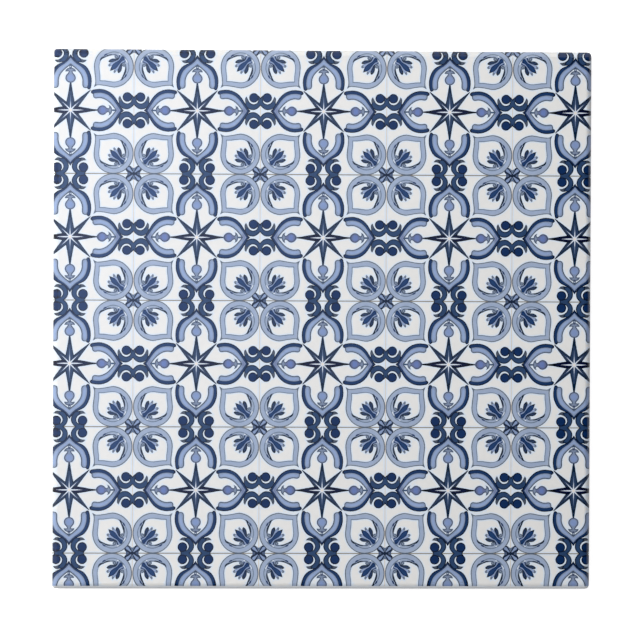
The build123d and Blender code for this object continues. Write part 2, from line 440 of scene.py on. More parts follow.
# Each ink's colour along its outline and where it has pooled, how cloudy its wash is, and how far it
# spread past its drawn outline in the fire
INKS = {
    "ground": ((213, 222, 231), (227, 225, 220), 0.02, 0),
    "upright joint": ((211, 202, 190), (211, 202, 190), 0.05, 0),
    "level joint": ((136, 128, 112), (136, 128, 112), 0.08, 0),
    "grey line": ((84, 95, 108), (84, 95, 108), 0.08, 0.05),
    "arch line": ((68, 80, 96), (68, 80, 96), 0.08, 0.05),
    "ring line": ((102, 117, 134), (102, 117, 134), 0.08, 0),
    "ring blue": ((158, 169, 186), (154, 168, 192), 0.05, 0.02),
    "scroll pale": ((152, 165, 186), (152, 165, 186), 0.05, 0),
    "scroll patch": ((38, 56, 92), (38, 56, 92), 0.08, 0.02),
    "scroll dark": ((26, 38, 54), (46, 58, 78), 0.1, 0.02),
    "scroll ball": ((128, 140, 156), (128, 140, 156), 0.06, 0),
    "scroll curl": ((68, 82, 102), (68, 82, 102), 0.06, 0.01),
    "dark lobe": ((22, 34, 52), (34, 52, 84), 0.12, 0.01),
    "low lobe": ((32, 44, 62), (44, 61, 92), 0.12, 0.01),
    "pale lobe": ((128, 146, 179), (154, 169, 200), 0.06, 0.03),
    "grey tip": ((104, 114, 128), (130, 138, 148), 0.06, 0),
    "navy lobe": ((16, 42, 82), (30, 59, 102), 0.12, 0.01),
    "lobe tip": ((32, 38, 46), (32, 38, 46), 0.08, 0),
    "glint": ((211, 218, 227), (211, 218, 227), 0.02, 0),
    "needle": ((106, 123, 154), (106, 123, 154), 0.05, 0),
    "flower petal": ((92, 108, 132), (118, 130, 148), 0.08, 0.02),
    "side petal": ((70, 88, 116), (108, 119, 141), 0.08, 0.02),
    "side vein": ((60, 74, 101), (60, 74, 101), 0.08, 0),
    "flower middle": ((18, 34, 54), (18, 34, 54), 0.1, 0.03),
    "navy leaf": ((14, 26, 50), (36, 48, 70), 0.1, 0.04),
    "star heart": ((226, 217, 206), (226, 217, 206), 0.02, 0),
    "slant ray": ((16, 30, 48), (33, 49, 74), 0.12, 0.03),
    "slant side": ((48, 60, 84), (48, 60, 84), 0.1, 0),
    "level ray": ((0, 4, 12), (2, 12, 48), 0.12, 0.05),
    "upright ray": ((4, 28, 50), (37, 56, 84), 0.12, 0.05),
    "stem": ((60, 80, 108), (60, 80, 108), 0.06, 0.02),
    "bud cup": ((74, 86, 104), (124, 137, 160), 0.06, 0.04),
    "bud line": ((66, 76, 102), (66, 76, 102), 0.06, 0.05),
    "violet bud": ((101, 111, 146), (102, 121, 174), 0.06, 0),
    "blue bud": ((126, 140, 164), (128, 147, 188), 0.06, 0),
    "teal hook": ((2, 22, 42), (40, 64, 98), 0.12, 0.04),
    "hook tail": ((60, 68, 80), (80, 88, 100), 0.1, 0.03),
    "navy ball": ((4, 14, 36), (10, 41, 84), 0.12, 0.05),
    "navy band": ((4, 14, 34), (22, 50, 90), 0.12, 0.05),
    "arch pale": ((133, 147, 172), (142, 161, 196), 0.05, 0),
    "arch tip": ((124, 138, 168), (102, 110, 150), 0.05, 0),
    "bare glaze": ((226, 228, 229), (226, 228, 229), 0.03, 0),
}
INK_NAMES = list(INKS)
SIDE_SLOT = len(INK_NAMES)
BACK_SLOT = SIDE_SLOT + 1
DRAWING = [(ink, inset(outline, -INKS[ink][3])) for motif in MOTIFS for ink, outline in motif()]
GROUNDS = [place for place, (ink, _) in enumerate(DRAWING) if ink == "ground"] + [-1]


# Plan geometry

def divided(loop, longest):
    """A closed loop with points added evenly, so that none of its sides is longer than longest."""
    run = np.roll(loop, -1, axis=0) - loop
    parts = np.ceil(np.linalg.norm(run, axis=1) / longest - 1e-6).astype(int).clip(1)
    start = np.repeat(np.cumsum(parts) - parts, parts)
    share = (np.arange(parts.sum()) - start) / np.repeat(parts, parts)
    return np.repeat(loop, parts, axis=0) + np.repeat(run, parts, axis=0) * share[:, None]


def all_corners(corner):
    """A closed outline from its upper right corner, mirrored to the other three."""
    return joined(corner, (corner * (-1, 1))[::-1], -corner, (corner * (1, -1))[::-1])


def ring(reach, longest=LONGEST_RUN):
    """The plan outline at one reach beyond the flat, anticlockwise: straight runs, and corners whose
    radius at angle a is reach / (cos^p a + sin^p a)^(1/p)."""
    angle = np.linspace(0, pi / 2, CORNER_STEPS + 1)
    ray = np.abs(np.stack([np.cos(angle), np.sin(angle)], 1))
    corner = FLAT + ray * reach / (ray ** ROUNDNESS).sum(1)[:, None] ** (1 / ROUNDNESS)
    return np.round(divided(all_corners(corner), longest), 4)


def beyond_flat(points):
    """How far each plan point lies past the flat's sides, in x and in y."""
    return np.maximum(np.abs(points) - FLAT, 0)


def reach_of(points):
    """How far each plan point reaches over the rolled edge: (a^p + b^p)^(1/p) of its distances."""
    return (beyond_flat(points) ** ROUNDNESS).sum(1) ** (1 / ROUNDNESS)


def outwards(points):
    """The level direction in which the rolled edge falls away: the gradient of reach, made one long."""
    beyond = beyond_flat(points)
    slope = np.sign(points) * beyond ** (ROUNDNESS - 1)
    return slope / np.maximum(np.linalg.norm(slope, axis=1), 1e-12)[:, None]


def drawn_in(points, reach):
    """Outline points brought in to a smaller reach, straight towards the flat's edge or corner."""
    core = np.clip(points, -FLAT, FLAT)
    return np.round(core + (points - core) * reach / ROLL, 4)


def sides_of(loop):
    """A closed outline's sides as segments."""
    return np.stack([loop, np.roll(loop, -1, axis=0)], 1)


def inside(points, outline):
    """Which points lie inside a closed outline: from those, a level line crosses it an odd number of
    times on its way to the right."""
    within = np.zeros(len(points), bool)
    near = np.flatnonzero(((points >= outline.min(0)) & (points <= outline.max(0))).all(1))
    x, y = points[near, 0, None], points[near, 1, None]
    a, b = outline, np.roll(outline, -1, axis=0)
    spans = (a[:, 1] > y) != (b[:, 1] > y)
    rise = np.where(b[:, 1] == a[:, 1], 1, b[:, 1] - a[:, 1])
    crossing = a[:, 0] + (y - a[:, 1]) * (b[:, 0] - a[:, 0]) / rise
    within[near] = (spans & (x < crossing)).sum(1) % 2 == 1
    return within


def distance_to(points, outline):
    """How far each point is from a closed outline: the least distance to the nearest place
    a + clip((p-a).r / r.r, 0, 1) r on each side r."""
    run = np.roll(outline, -1, axis=0) - outline
    away = points[:, None] - outline
    share = np.clip((away * run).sum(2) / (run ** 2).sum(1), 0, 1)
    return np.linalg.norm(away - share[:, :, None] * run, axis=2).min(1)


def clipped(segments, low, high):
    """The parts of segments inside a rectangle: along p + t r, between the last side that is entered
    and the first one that is left."""
    start, run = segments[:, 0], segments[:, 1] - segments[:, 0]
    level = np.abs(run) < 1e-9
    safe = np.where(level, 1, run)
    to_low, to_high = (low - start) / safe, (high - start) / safe
    missing = level & ((start < low) | (start > high))
    enter = np.where(level, np.where(missing, 2, 0), np.minimum(to_low, to_high)).max(1).clip(0)
    leave = np.where(level, 1, np.maximum(to_low, to_high)).min(1).clip(max=1)
    kept = leave > enter + 1e-6
    ends = start[:, None] + run[:, None] * np.stack([enter, leave], 1)[:, :, None]
    return ends[kept]


def folded(points):
    """Plan points carried back into the drawing's quarter: their distances from the nearest star."""
    cells = (points - PRINT_CENTRE) / REPEAT
    return np.abs(cells - np.round(cells)) * 2 * CELL


def triangulated(segments, loose=()):
    """Points and anticlockwise triangles of the least skewed triangulation that keeps every segment
    and every loose point."""
    ends = np.round(segments.reshape(-1, 2), 4)
    if len(loose):
        ends = np.vstack([ends, np.round(loose, 4)])
    points, index = np.unique(ends, axis=0, return_inverse=True)
    index = index.reshape(-1)
    edges = np.unique(np.sort(index[:len(segments) * 2].reshape(-1, 2), axis=1), axis=0)
    edges = edges[edges[:, 0] != edges[:, 1]]
    made = delaunay_2d_cdt(points.tolist(), edges.tolist(), [], 0, 1e-6, False)
    points = np.round(np.array([tuple(v) for v in made[0]]), 4)
    corners = np.array(made[2])
    a, b, c = (points[corners[:, k]] for k in range(3))
    turn = (b[:, 0] - a[:, 0]) * (c[:, 1] - a[:, 1]) - (b[:, 1] - a[:, 1]) * (c[:, 0] - a[:, 0])
    corners[turn < 0] = corners[turn < 0][:, ::-1]
    return points, corners


# The tile's surfaces. Each gives its points, their normals, triangles, material slots, ink depth at
# each corner and place in the flat map at each corner.

# The flat map: its margin, the widths of the face's square and of the strip for the sides and the back,
# and how much of its share each side fills
MAP_MARGIN = 0.01
MAP_FACE = 0.84
MAP_STRIP = 0.14
MAP_FILL = 0.86
# A four-cornered cell's two triangles, by the places of its corners
TWO_TRIANGLES = [0, 3, 2, 0, 2, 1]


def print_window():
    """The outline of the printed area: the ring at the print's turn over the rolled edge, held back from
    the left and lower edges by the print's gap."""
    rim = ring(PRINT_REACH, PRINT_RUN)
    return joined(np.round(np.maximum(rim, np.array(PRINT_GAP) - HALF), 4))


def shown(places):
    """Which shape of the drawing shows at each place of the quarter, the topmost one that holds it: -1
    for the bare ground."""
    shape = np.full(len(places), -1)
    for place, (_, outline) in enumerate(DRAWING):
        shape[inside(places, outline)] = place
    return shape


def straightened(lines):
    """The lines without the points of a straight run: those where only two lines meet and that lie less
    than STRAIGHT from the chord past both. Of two neighbours only the first goes."""
    points, index = np.unique(lines.reshape(-1, 2), axis=0, return_inverse=True)
    ends = index.reshape(-1, 2)
    count = np.bincount(ends.ravel())
    start = np.cumsum(count) - count
    other = ends[:, ::-1].ravel()[np.argsort(ends.ravel(), kind="stable")]
    middle = np.flatnonzero(count == 2)
    a, b = other[start[middle]], other[start[middle] + 1]
    chord, side = points[b] - points[a], points[middle] - points[a]
    off = np.abs(chord[:, 0] * side[:, 1] - chord[:, 1] * side[:, 0])
    straight = np.zeros(len(points), bool)
    straight[middle[off < STRAIGHT * np.linalg.norm(chord, axis=1)]] = True
    goes = straight[middle] & ~(straight[a] & (a < middle)) & ~(straight[b] & (b < middle))
    gone = np.zeros(len(points), bool)
    gone[middle[goes]] = True
    bridges = np.stack([a[goes], b[goes]], 1)
    return points[np.vstack([ends[~gone[ends].any(1)], bridges])]


def drawing_lines():
    """The lines that the face is cut along in one quarter of the repeat. All the outlines are laid over
    each other, and the sides stay that have another shape on either hand."""
    outlines = [clipped(sides_of(outline), np.zeros(2), np.full(2, CELL)) for _, outline in DRAWING]
    points, corners = triangulated(np.vstack(outlines))
    shape = np.repeat(shown(points[corners].mean(1)), 3)
    ends = np.sort(np.stack([corners, np.roll(corners, -1, axis=1)], 2).reshape(-1, 2), axis=1)
    both, index = np.unique(ends, axis=0, return_inverse=True)
    least, most = np.full(len(both), len(DRAWING)), np.full(len(both), -1)
    np.minimum.at(least, index.reshape(-1), shape)
    np.maximum.at(most, index.reshape(-1), shape)
    return straightened(straightened(points[both[least < most]]))


def evenly(loop, gap):
    """Points about gap apart along a closed loop."""
    lengths = np.linalg.norm(np.roll(loop, -1, axis=0) - loop, axis=1)
    along = np.concatenate([[0], np.cumsum(lengths)])
    wanted = np.linspace(0, along[-1], max(round(along[-1] / gap), 3), endpoint=False)
    closed = np.vstack([loop, loop[:1]])
    return np.stack([np.interp(wanted, along, closed[:, k]) for k in (0, 1)], 1)


def ground_depth(places):
    """How far each place on the ground is from every outline, from 0 there to 1 at RIM."""
    far = np.full(len(places), RIM)
    for _, outline in DRAWING:
        near = ((places > outline.min(0) - RIM) & (places < outline.max(0) + RIM)).all(1)
        far[near] = np.minimum(far[near], distance_to(places[near], outline))
    return far / RIM


def depth_points():
    """Loose points in the quarter for the ink's depth to change between: POOL inside the outline of each
    shape whose ink changes there, and on the ground RIM from every shape. Crowded ones are thinned."""
    found = []
    for place, (ink, outline) in enumerate(DRAWING):
        edge, pooled = INKS[ink][:2]
        if ink != "ground" and edge != pooled:
            inner = evenly(inset(outline, POOL), POOL_GAP)
            inner = inner[shown(inner) == place]
            found.append(inner[distance_to(inner, outline) > POOL / 2])
        outer = evenly(inset(outline, RIM if ink == "ground" else -RIM), RIM_GAP)
        outer = outer[np.isin(shown(outer), GROUNDS)]
        found.append(outer[ground_depth(outer) > 0.5])
    loose = np.vstack(found)
    loose = loose[((loose > CROWDED / 3) & (loose < CELL - CROWDED / 3)).all(1)]
    _, first = np.unique(np.round(loose / CROWDED), axis=0, return_index=True)
    return loose[first]


def repeated(places):
    """Places of the quarter, mirrored and laid over the whole face: star + mirror * place."""
    first = np.floor((-HALF - PRINT_CENTRE) / REPEAT - 0.5)
    last = np.ceil((HALF - PRINT_CENTRE) / REPEAT + 0.5)
    across, up = np.arange(first[0], last[0] + 1), np.arange(first[1], last[1] + 1)
    stars = np.stack(np.meshgrid(across, up), -1).reshape(-1, 1, 1, 2) * REPEAT + PRINT_CENTRE
    mirrors = np.array([(1, -1), (-1, -1), (1, 1), (-1, 1)]).reshape(1, 4, 1, 2)
    laid = stars + mirrors * places.reshape(-1, 2) * REPEAT / (2 * CELL)
    return laid.reshape(-1, *places.shape[1:])


def printed_lines(window):
    """The drawing's lines over the whole printed area, cut off at its edge."""
    laid = clipped(repeated(drawing_lines()), window.min(0), window.max(0))
    limit = PRINT_REACH * JUST_INSIDE
    reach = reach_of(laid.reshape(-1, 2)).reshape(-1, 2)
    at_corner = (beyond_flat(laid.reshape(-1, 2)) > 0).all(1).reshape(-1, 2) & (reach > limit)
    core = np.clip(laid, -FLAT, FLAT)
    pulled = core + (laid - core) * (limit / np.maximum(reach, limit))[:, :, None]
    return np.where(at_corner[:, :, None], pulled, laid)[~at_corner.all(1)]


def printed_points(window):
    """The loose points over the whole printed area."""
    laid = repeated(depth_points())
    return laid[inside(laid, inset(window, CROWDED / 3))]


def inked(points, corners, window):
    """Which shape of the drawing shows on each triangle: -1 for the bare ground and -2 outside the
    print."""
    middle = points[corners].mean(1)
    shape = shown(folded(middle))
    shape[~inside(middle, window)] = -2
    return shape


def ink_depth(points, corners, shape):
    """How far inside its own ink's outline each triangle corner lies, from 0 there to 1 at POOL, and on
    the ground how far from every ink's."""
    depth = np.ones(corners.shape)
    for place, (ink, outline) in enumerate(DRAWING):
        mine = np.flatnonzero(shape == place)
        if len(mine) and INKS[ink][0] != INKS[ink][1] and ink != "ground":
            used, back = np.unique(corners[mine], return_inverse=True)
            far = distance_to(folded(points[used]), outline) / POOL
            depth[mine] = np.clip(far, 0, 1)[back].reshape(-1, 3)
    mine = np.flatnonzero(np.isin(shape, GROUNDS))
    used, back = np.unique(corners[mine], return_inverse=True)
    depth[mine] = ground_depth(folded(points[used]))[back].reshape(-1, 3)
    return depth


def face():
    """The glazed face and its rolled edge: z = TOP - ROLL + sqrt(ROLL^2 - reach^2), cut along rings at
    equal turns of the roll and along the lines of the print."""
    turns = np.radians(np.linspace(0, 90, ROLL_STEPS + 1))
    rings = [ring(ROLL * sin(turn), PRINT_RUN) for turn in turns[:-1]] + [ring(ROLL)]
    window = print_window()
    lines = np.vstack([sides_of(loop) for loop in rings] + [sides_of(window), printed_lines(window)])
    points, corners = triangulated(lines, printed_points(window))
    reach = np.minimum(reach_of(points), ROLL)
    edge = reach > ROLL - AT_EDGE
    reach[edge] = ROLL
    fall = np.sqrt(ROLL ** 2 - reach ** 2)
    level = outwards(points) * (reach / ROLL)[:, None]
    normals = np.column_stack([level, fall / ROLL])
    places = np.column_stack([points, TOP - ROLL + fall])
    shape = inked(points, corners, window)
    names = [ink for ink, _ in DRAWING] + ["bare glaze", "ground"]
    slots = np.array([INK_NAMES.index(name) for name in names])[shape]
    unrolled = np.where(reach > 0, ROLL * np.arcsin(reach / ROLL) / np.maximum(reach, 1e-9), 1)
    core = np.clip(points, -FLAT, FLAT)
    whole = FLAT + ROLL * pi / 2
    spread = MAP_MARGIN + MAP_FACE * ((core + (points - core) * unrolled[:, None]) / whole + 1) / 2
    return places, normals, corners, slots, ink_depth(points, corners, shape), spread[corners]


def side_profile():
    """The sides from the rolled edge down to the back: (inset, height, slope) at each station. The
    taper's inset is (foot of the collar - z) tan(draft), and the round at the back is an arc that
    touches the taper and the back."""
    foot = TOP - ROLL - COLLAR
    centre = (foot - BACK_ROUND) * tan(DRAFT) + BACK_ROUND / cos(DRAFT)
    slopes = np.linspace(DRAFT, pi / 2, ROUND_STEPS + 1)
    heights = BACK_ROUND - BACK_ROUND * np.sin(slopes)
    rounding = np.column_stack([centre - BACK_ROUND * np.cos(slopes), heights, slopes])
    collar = [(0, TOP - ROLL, 0), (0, TOP - ROLL - COLLAR / 2, 0), (0, foot, 0)]
    middle = (foot + rounding[0, 1]) / 2
    return np.vstack([collar, [((foot - middle) * tan(DRAFT), middle, DRAFT)], rounding])


def sides():
    """The four sides as one grid: the outline carried down the profile, each point moved in towards the
    flat's edge by the profile's inset."""
    outline = ring(ROLL)
    bearing = np.degrees(np.arctan2(outline[:, 1], outline[:, 0]))
    outline = np.roll(outline, -np.argmin(np.abs(bearing + 45)), axis=0)
    profile = side_profile()
    rows, columns = len(profile), len(outline)
    plan = np.array([drawn_in(outline, ROLL - moved_in) for moved_in in profile[:, 0]])
    height = np.round(np.repeat(profile[:, 1], columns), 4)
    places = np.column_stack([plan.reshape(-1, 2), height])
    slope = profile[:, 2][:, None, None]
    level = outwards(outline)[None] * np.cos(slope)
    down = np.broadcast_to(-np.sin(slope), (rows, columns, 1))
    normals = np.concatenate([level, down], 2).reshape(-1, 3)
    row, column = np.meshgrid(np.arange(rows - 1), np.arange(columns), indexing="ij")
    after = (column + 1) % columns
    a, b = row * columns + column, row * columns + after
    c, d = (row + 1) * columns + after, (row + 1) * columns + column
    corners = np.stack([a, b, c, d], 2)[:, :, TWO_TRIANGLES].reshape(-1, 3)
    run = np.linalg.norm(np.roll(outline, -1, axis=0) - outline, axis=1)
    along = np.concatenate([[0], np.cumsum(run)])
    quarter = along[-1] / 4
    strip = np.minimum((along[:-1] + run / 2) // quarter, 3)
    down_length = np.concatenate([[0], np.cumsum(np.hypot(np.diff(profile[:, 0]), np.diff(profile[:, 1])))])
    u_here = MAP_MARGIN + MAP_FACE * (along[:-1] - strip * quarter) / quarter
    u_after = MAP_MARGIN + MAP_FACE * (along[1:] - strip * quarter) / quarter
    pitch = MAP_STRIP / 4
    base = 1 - MAP_STRIP + strip * pitch
    v = pitch * MAP_FILL * down_length / down_length[-1]
    u0, u1 = np.broadcast_to(u_here, row.shape), np.broadcast_to(u_after, row.shape)
    v0, v1 = base[None] + v[:-1, None], base[None] + v[1:, None]
    cell = np.stack([np.stack(place, -1) for place in ((u0, v0), (u1, v0), (u1, v1), (u0, v1))], 2)
    spread = cell[:, :, TWO_TRIANGLES].reshape(-1, 3, 2)
    slots = np.full(len(corners), SIDE_SLOT)
    return places, normals, corners, slots, np.ones(corners.shape), spread


def pocket_offset(points):
    """How far each plan point lies outside the nearest pocket's mouth, negative inside, and the level
    direction away from it: the distance to a rounded square."""
    nearest = np.clip(np.round(points / POCKET_PITCH), -POCKET_REACH, POCKET_REACH) * POCKET_PITCH
    local = points - nearest
    past = np.abs(local) - (POCKET / 2 - POCKET_CORNER)
    rounded = np.maximum(past, 0)
    size = np.linalg.norm(rounded, axis=1)
    offset = size + np.minimum(past.max(1), 0) - POCKET_CORNER
    straight = np.where(past >= past.max(1)[:, None], 1.0, 0.0)
    away = np.where((size > 0)[:, None], rounded / np.maximum(size, 1e-9)[:, None], straight)
    return offset, np.sign(local) * away


def pocket_ring(outset):
    """A pocket's outline moved out by outset: a rounded square of quarter circles and straight runs."""
    half, radius = POCKET / 2 + outset, POCKET_CORNER + outset
    angle = np.linspace(0, pi / 2, POCKET_STEPS + 1)
    corner = half - radius + radius * np.stack([np.cos(angle), np.sin(angle)], 1)
    return all_corners(corner)


def back():
    """The back: flat but for its pockets, whose walls fall by a smooth step 3s^2 - 2s^3, with s the
    share of the way from the eased mouth to the floor."""
    wall = POCKET_DEPTH * tan(POCKET_DRAFT)
    width = wall + 2 * POCKET_EASE
    outline = drawn_in(ring(ROLL), ROLL - side_profile()[-1, 0])
    lines = [sides_of(outline)]
    at = np.arange(-POCKET_REACH, POCKET_REACH + 1) * POCKET_PITCH
    centres = np.stack(np.meshgrid(at, at), -1).reshape(-1, 1, 1, 2)
    for share in np.linspace(0, 1, WALL_STEPS + 1):
        mouth = sides_of(pocket_ring(POCKET_EASE - share * width))
        lines.append((centres + mouth[None]).reshape(-1, 2, 2))
    points, corners = triangulated(np.vstack(lines))
    offset, away = pocket_offset(points)
    s = np.clip((POCKET_EASE - offset) / width, 0, 1)
    places = np.column_stack([points, POCKET_DEPTH * (3 * s ** 2 - 2 * s ** 3)])
    steep = POCKET_DEPTH * 6 * s * (1 - s) / width
    normals = np.column_stack([-away * steep[:, None], -np.ones(len(points))])
    normals /= np.linalg.norm(normals, axis=1)[:, None]
    spread = np.column_stack([1 - MAP_STRIP + (MAP_STRIP - MAP_MARGIN) * (points[:, 0] / HALF[0] + 1) / 2,
                              MAP_MARGIN + MAP_FACE * (points[:, 1] / HALF[1] + 1) / 2])
    corners = corners[:, ::-1]
    slots = np.full(len(corners), BACK_SLOT)
    return places, normals, corners, slots, np.ones(corners.shape), spread[corners]


def tile_mesh():
    """The face, the sides and the back welded into one closed mesh, with the ink's depth and the flat map
    at each triangle's corners."""
    parts = [face(), sides(), back()]
    counts = np.cumsum([0] + [len(part[0]) for part in parts])
    places, normals = (np.vstack([part[k] for part in parts]) for k in (0, 1))
    corners = np.vstack([part[2] + start for part, start in zip(parts, counts)])
    slots, depth, spread = (np.concatenate([part[k] for part in parts]) for k in (3, 4, 5))
    _, first, welded = np.unique(np.round(places, 4), axis=0, return_index=True, return_inverse=True)
    corners = welded.reshape(-1)[corners]
    whole = (corners != np.roll(corners, 1, axis=1)).all(1)
    corners, slots, depth, spread = corners[whole], slots[whole], depth[whole], spread[whole]
    mesh = bpy.data.meshes.new("glazed_tile")
    mesh.vertices.add(len(first))
    mesh.vertices.foreach_set("co", (places[first] * MM).astype(np.float32).ravel())
    mesh.loops.add(corners.size)
    mesh.loops.foreach_set("vertex_index", corners.astype(np.int32).ravel())
    mesh.polygons.add(len(corners))
    mesh.polygons.foreach_set("loop_start", np.arange(0, corners.size, 3, dtype=np.int32))
    mesh.polygons.foreach_set("material_index", slots.astype(np.int32))
    mesh.polygons.foreach_set("use_smooth", np.ones(len(corners), bool))
    mesh.update(calc_edges=True)
    ink_depths = mesh.attributes.new("ink depth", "FLOAT", "CORNER").data
    ink_depths.foreach_set("value", depth.astype(np.float32).ravel())
    mesh.uv_layers.new(name="OFBake").uv.foreach_set("vector", spread.astype(np.float32).ravel())
    mesh.normals_split_custom_set_from_vertices(normals[first])
    return mesh


# Materials

def linear(colour):
    """A colour written as 0 to 255 in sRGB, as the renderer's linear values."""
    share = np.array(colour) / 255
    value = np.where(share <= 0.04045, share / 12.92, ((share + 0.055) / 1.055) ** 2.4)
    return (*value.tolist(), 1.0)


# A Mix node's colour sockets, which share their names with its other kinds
MIX_A, MIX_B, MIX_RESULT = 6, 7, 2


def node(tree, kind, feeds=None, **settings):
    """A shader node with its settings, and its sockets fed by other nodes' outputs or plain values."""
    made = tree.nodes.new(kind)
    for name, value in settings.items():
        setattr(made, name, value)
    for socket, value in (feeds or {}).items():
        if isinstance(value, bpy.types.NodeSocket):
            tree.links.new(value, made.inputs[socket])
        else:
            made.inputs[socket].default_value = value
    return made


def calc(tree, operation, a, b=0.0, c=0.0):
    """One sum of two or three values."""
    return node(tree, "ShaderNodeMath", {0: a, 1: b, 2: c}, operation=operation).outputs[0]


def ranged(tree, value, low, high, start=0.0, end=1.0):
    """A value carried smoothly from one range to another: start up to low, end from high on."""
    feeds = {"Value": value, "From Min": low, "From Max": high, "To Min": start, "To Max": end}
    return node(tree, "ShaderNodeMapRange", feeds, interpolation_type="SMOOTHSTEP").outputs[0]


def mixed(tree, factor, a, b):
    """One colour passing into another."""
    made = node(tree, "ShaderNodeMix", {0: factor, MIX_A: a, MIX_B: b}, data_type="RGBA")
    return made.outputs[MIX_RESULT]


def object_place(tree):
    """Where a place lies on the object, in metres from its origin."""
    return node(tree, "ShaderNodeTexCoord").outputs["Object"]


def parted(tree, place):
    """A place's x, y and z."""
    return node(tree, "ShaderNodeSeparateXYZ", {0: place}).outputs


def brightened(tree, colour, level):
    """A colour times a level."""
    return node(tree, "ShaderNodeVectorMath", {0: colour, "Scale": level}, operation="SCALE").outputs[0]


def bumped(tree, height):
    """The normal of a surface raised by a height, in metres."""
    return node(tree, "ShaderNodeBump", {"Strength": 1.0, "Distance": 1.0, "Height": height}).outputs[0]


def noise(tree, size, detail=2.0, stretch=None):
    """Cloudy noise on Object coordinates, its clouds about one size, in millimetres, across."""
    place = object_place(tree)
    if stretch:
        place = node(tree, "ShaderNodeMapping", {"Vector": place, "Scale": stretch}).outputs[0]
    feeds = {"Vector": place, "Scale": 1 / (size * MM), "Detail": detail}
    return node(tree, "ShaderNodeTexNoise", feeds).outputs[0]


def group(name, inputs, outputs):
    """An empty shader node group with named sockets, and its input and output nodes."""
    tree = bpy.data.node_groups.new(name, "ShaderNodeTree")
    for socket, (kind, value) in inputs.items():
        given = tree.interface.new_socket(socket, in_out="INPUT", socket_type="NodeSocket" + kind)
        given.default_value = value
    for socket, kind in outputs.items():
        tree.interface.new_socket(socket, in_out="OUTPUT", socket_type="NodeSocket" + kind)
    return tree, tree.nodes.new("NodeGroupInput").outputs, tree.nodes.new("NodeGroupOutput").inputs


def past_the_flat(tree):
    """How far a place is past the flat of the face, in metres: the larger of |x| - FLAT and |y| - FLAT."""
    x, y, _ = parted(tree, object_place(tree))
    across = calc(tree, "SUBTRACT", calc(tree, "ABSOLUTE", x), FLAT[0] * MM)
    up = calc(tree, "SUBTRACT", calc(tree, "ABSOLUTE", y), FLAT[1] * MM)
    return calc(tree, "MAXIMUM", across, up)


# What a group's colour sockets start from
GREY = (0.5, 0.5, 0.5, 1.0)


def fired_ink():
    """Ink under the glaze: its outline's colour passes to its pooled colour with depth, clouded by the
    wash, and it goes paler and greyer where the glaze thins over the rolled edge."""
    tree, given, result = group("fired ink", {
        "Outline": ("Color", GREY), "Pooled": ("Color", GREY), "Depth": ("Float", 1.0),
        "Wash": ("Float", 0.05), "Thin Glaze": ("Color", GREY)}, {"Color": "Color"})
    pooled = ranged(tree, given["Depth"], 0.25, 1.0)
    colour = mixed(tree, pooled, given["Outline"], given["Pooled"])
    cloud = calc(tree, "ADD", noise(tree, 1.1, 3.0), calc(tree, "MULTIPLY", noise(tree, 0.25, 2.0), 0.5))
    swing = calc(tree, "MULTIPLY", calc(tree, "SUBTRACT", cloud, 0.75), given["Wash"])
    level = calc(tree, "MULTIPLY_ADD", swing, 4.0, 1.0)
    clouded = brightened(tree, colour, level)
    thin = ranged(tree, past_the_flat(tree), 0.75 * ROLL * MM, ROLL * MM, 0.0, THINNING)
    tree.links.new(mixed(tree, thin, clouded, given["Thin Glaze"]), result["Color"])
    return tree


def glaze_skin():
    """The clear glaze's surface: a long low ripple, a fine one, and smudges in its gloss."""
    tree, given, result = group("glaze skin", {
        "Ripple": ("Float", 0.02), "Gloss": ("Float", 0.08)}, {"Roughness": "Float", "Normal": "Vector"})
    ripple = calc(tree, "MULTIPLY_ADD", noise(tree, 0.7, 2.0), 0.12, noise(tree, 5.0, 1.0))
    height = calc(tree, "MULTIPLY", calc(tree, "MULTIPLY", ripple, given["Ripple"]), MM)
    smudge = ranged(tree, noise(tree, 14.0, 4.0), 0.35, 0.75, 0.8, 1.35)
    tree.links.new(calc(tree, "MULTIPLY", given["Gloss"], smudge), result["Roughness"])
    tree.links.new(bumped(tree, height), result["Normal"])
    return tree


def fired_clay():
    """Bare pressed clay: a pale body with broad clouds, sparse dark grains, a chalky bloom, and the
    height of its grain."""
    tree, given, result = group("fired clay", {
        "Body": ("Color", GREY), "Bloom": ("Color", GREY), "Grains": ("Color", GREY),
        "Grain Share": ("Float", 0.2)}, {"Color": "Color", "Height": "Float"})
    broad = ranged(tree, noise(tree, 16.0, 4.0), 0.35, 0.68)
    colour = mixed(tree, calc(tree, "MULTIPLY", broad, 0.6), given["Body"], given["Bloom"])
    cells = node(tree, "ShaderNodeTexVoronoi", {"Vector": object_place(tree), "Scale": 1 / (GRAIN_GAP * MM)})
    chance = node(tree, "ShaderNodeSeparateColor", {0: cells.outputs["Color"]}).outputs[0]
    pick = calc(tree, "GREATER_THAN", chance, GRAINLESS)
    speck = calc(tree, "MULTIPLY", ranged(tree, cells.outputs["Distance"], 0.1, 0.24, 1.0, 0.0), pick)
    speck = calc(tree, "MULTIPLY", speck, given["Grain Share"])
    colour = mixed(tree, speck, colour, given["Grains"])
    fine = noise(tree, 0.22, 3.0)
    tone = ranged(tree, fine, 0.25, 0.75, 0.93, 1.05)
    tree.links.new(brightened(tree, colour, tone), result["Color"])
    proud = calc(tree, "MULTIPLY", speck, GRAIN_RISE * MM)
    tree.links.new(calc(tree, "MULTIPLY_ADD", fine, CLAY_RISE * MM, proud), result["Height"])
    return tree


def placed(tree, shared, feeds):
    """A shared node group in a material, with its own values."""
    return node(tree, "ShaderNodeGroup", feeds, node_tree=shared).outputs


def new_material(name):
    """A new material, its tree and its one Principled shader."""
    material = bpy.data.materials.new(name)
    material.use_nodes = True
    return material, material.node_tree, material.node_tree.nodes["Principled BSDF"]


